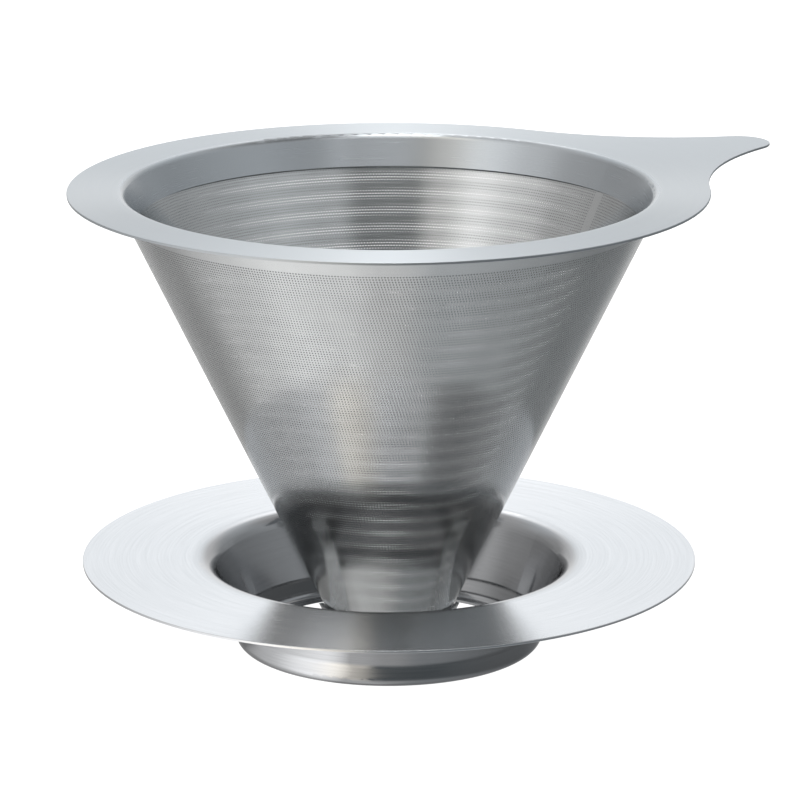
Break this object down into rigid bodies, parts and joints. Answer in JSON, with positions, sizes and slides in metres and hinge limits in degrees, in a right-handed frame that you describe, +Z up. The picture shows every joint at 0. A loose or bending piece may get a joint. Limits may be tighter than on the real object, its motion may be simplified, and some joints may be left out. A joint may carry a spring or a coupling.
{
  "type": "pour over dripper",
  "caption": "Stainless pour over dripper: a double-walled filter cone hung from a flat rim with a handle tab, over a wide drip saucer with a foot collar.",
  "frame": {"origin": "bottom centre of the bounding box, on the plane that the foot stands on", "axes": "+Z up along the cones' axis, +X along the handle tab; the cones' axis stands at x = -13.325 mm"},
  "size_m": [0.1502, 0.1234, 0.0911],
  "materials": {
    "rim_steel": "satin stainless sheet, brushed round the collar",
    "outer_mesh_steel": "bright etched stainless sheet with rows of fine round holes",
    "inner_mesh_steel": "bright etched stainless sheet with rows of fine round holes and a plain seam strip",
    "tip_cap_steel": "pressed stainless sheet, satin",
    "saucer_steel": "stainless sheet brushed in circles",
    "stay_steel": "bent stainless strip, fine satin"
  },
  "bodies": {
    "root": {"rim": "rim_steel", "outer_mesh": "outer_mesh_steel", "inner_mesh": "inner_mesh_steel", "tip_cap": "tip_cap_steel", "saucer": "saucer_steel", "stay_1": "stay_steel", "stay_2": "stay_steel", "stay_3": "stay_steel"}
  },
  "joints": []
}
